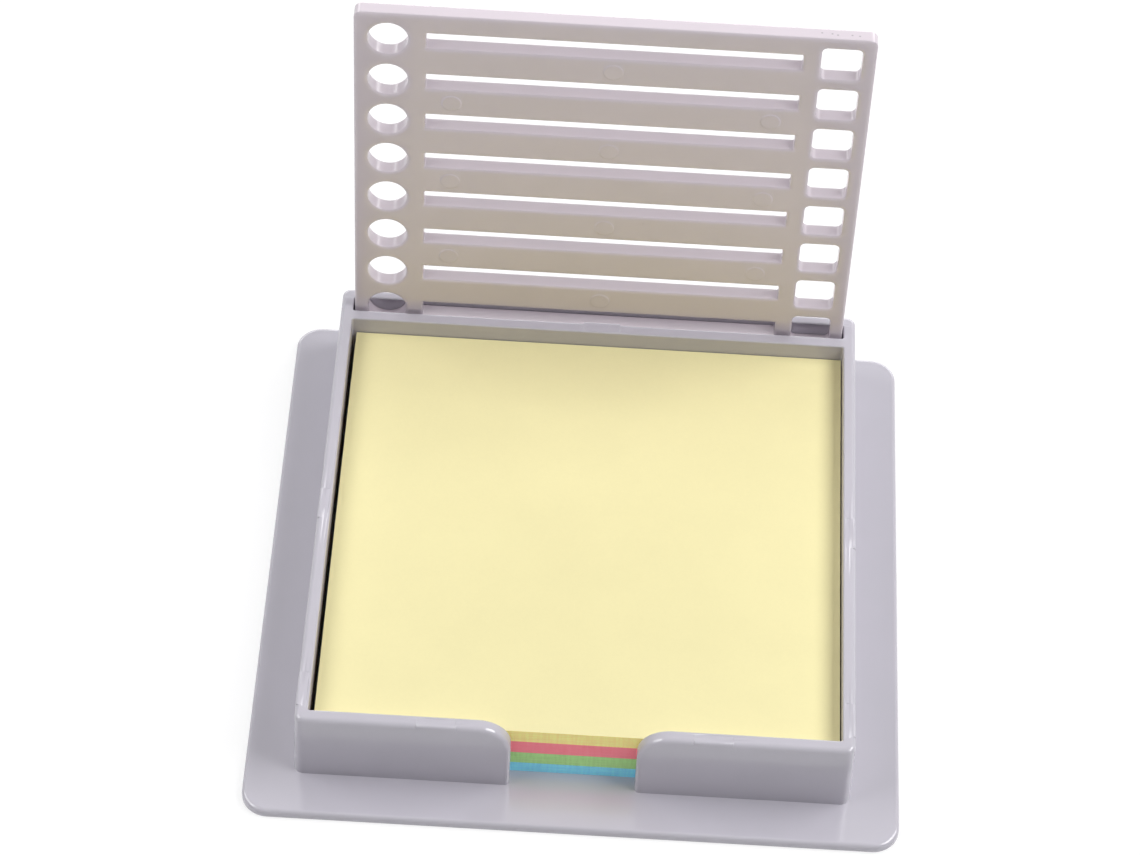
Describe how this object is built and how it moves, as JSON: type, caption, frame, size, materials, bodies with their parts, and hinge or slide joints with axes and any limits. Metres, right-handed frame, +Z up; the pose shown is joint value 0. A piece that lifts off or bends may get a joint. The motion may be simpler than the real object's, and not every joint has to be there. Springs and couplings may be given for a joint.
{
  "type": "sticky note holder",
  "caption": "Square desk tray with a walled box for coloured sticky notes, a finger gap in front and a flat drawing stencil standing in a slot at the back.",
  "frame": {"origin": "centre of the tray's underside, on the surface that it stands on", "axes": "+X to the right, +Y to the back, where the stencil stands, +Z up"},
  "size_m": [0.0954, 0.0952, 0.076],
  "materials": {
    "tray_plastic": "satin",
    "stencil_plastic": "satin",
    "yellow_paper": "matt paper",
    "pink_paper": "matt paper",
    "green_paper": "matt paper",
    "blue_paper": "matt paper"
  },
  "bodies": {
    "root": {"tray": "tray_plastic", "stencil_plate": "stencil_plastic", "pad_yellow": "yellow_paper", "pad_pink": "pink_paper", "pad_green": "green_paper", "pad_blue": "blue_paper"}
  },
  "joints": []
}
